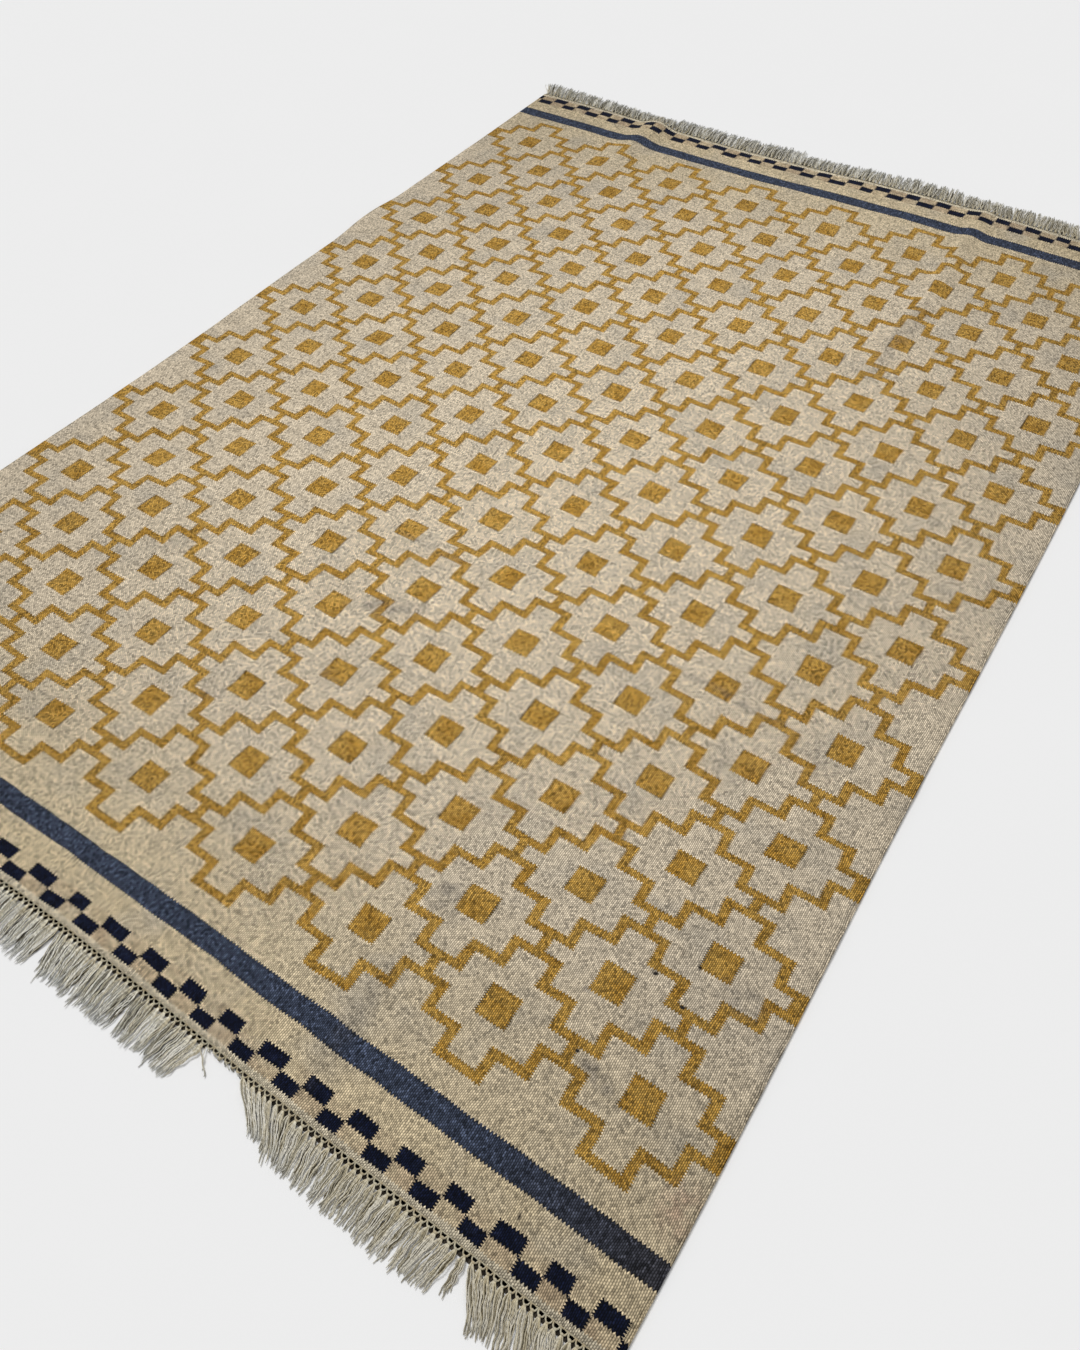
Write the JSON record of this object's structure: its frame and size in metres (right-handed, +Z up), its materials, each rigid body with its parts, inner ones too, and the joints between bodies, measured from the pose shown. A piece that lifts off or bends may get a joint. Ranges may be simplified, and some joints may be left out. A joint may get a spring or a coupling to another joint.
{
  "type": "kilim rug",
  "caption": "Flat-woven rug with a stepped lattice field, a stripe and a two-row check across each end, and a knotted warp fringe, lying open on the floor.",
  "frame": {"origin": "middle of the rug's footprint with its fringes, on the floor", "axes": "+X across the rug, +Y along its length towards the end that is far from the picture's camera, +Z up"},
  "size_m": [1.7648, 2.5426, 0.0172],
  "materials": {
    "cloth": "matt flat-woven wool, cream ground with ochre, slate blue and navy",
    "fringe": "matt undyed greyish cream warp yarn"
  },
  "bodies": {
    "root": {"rug_panel": "cloth", "near_fringe": "fringe", "far_fringe": "fringe"}
  },
  "joints": []
}
